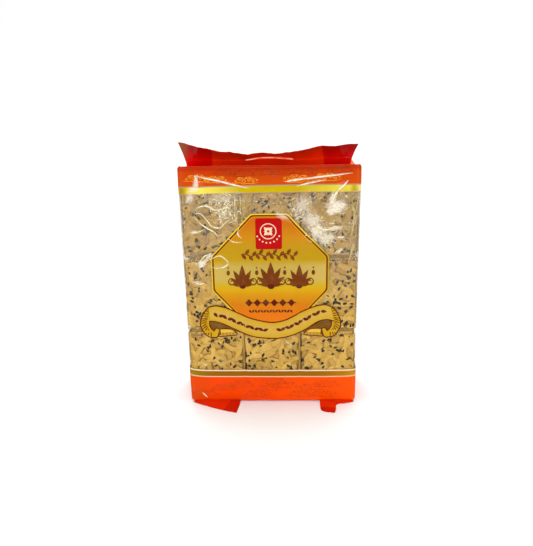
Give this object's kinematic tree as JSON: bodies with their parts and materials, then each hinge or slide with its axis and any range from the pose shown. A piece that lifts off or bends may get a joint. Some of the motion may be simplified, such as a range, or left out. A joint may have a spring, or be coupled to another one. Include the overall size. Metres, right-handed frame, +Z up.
{
  "type": "sachima retail pack",
  "caption": "Upright side-gusseted bag of clear printed film, drawn tight round a block of wrapped sachima bricks, with a crimped top fin and a folded base.",
  "frame": {"origin": "middle of the bag's base, on the surface it stands on", "axes": "+Z up, +X to the right of the printed front, -Y out of the printed front"},
  "size_m": [0.1525, 0.0726, 0.2348],
  "materials": {
    "printed_film": "glossy reverse-printed film in red and orange",
    "clear_film": "clear glossy packaging film with soft wrinkles",
    "sachima": "fried noodle strands bound in syrup, with black sesame"
  },
  "bodies": {
    "root": {"sachima_pack": "printed_film"}
  },
  "joints": []
}
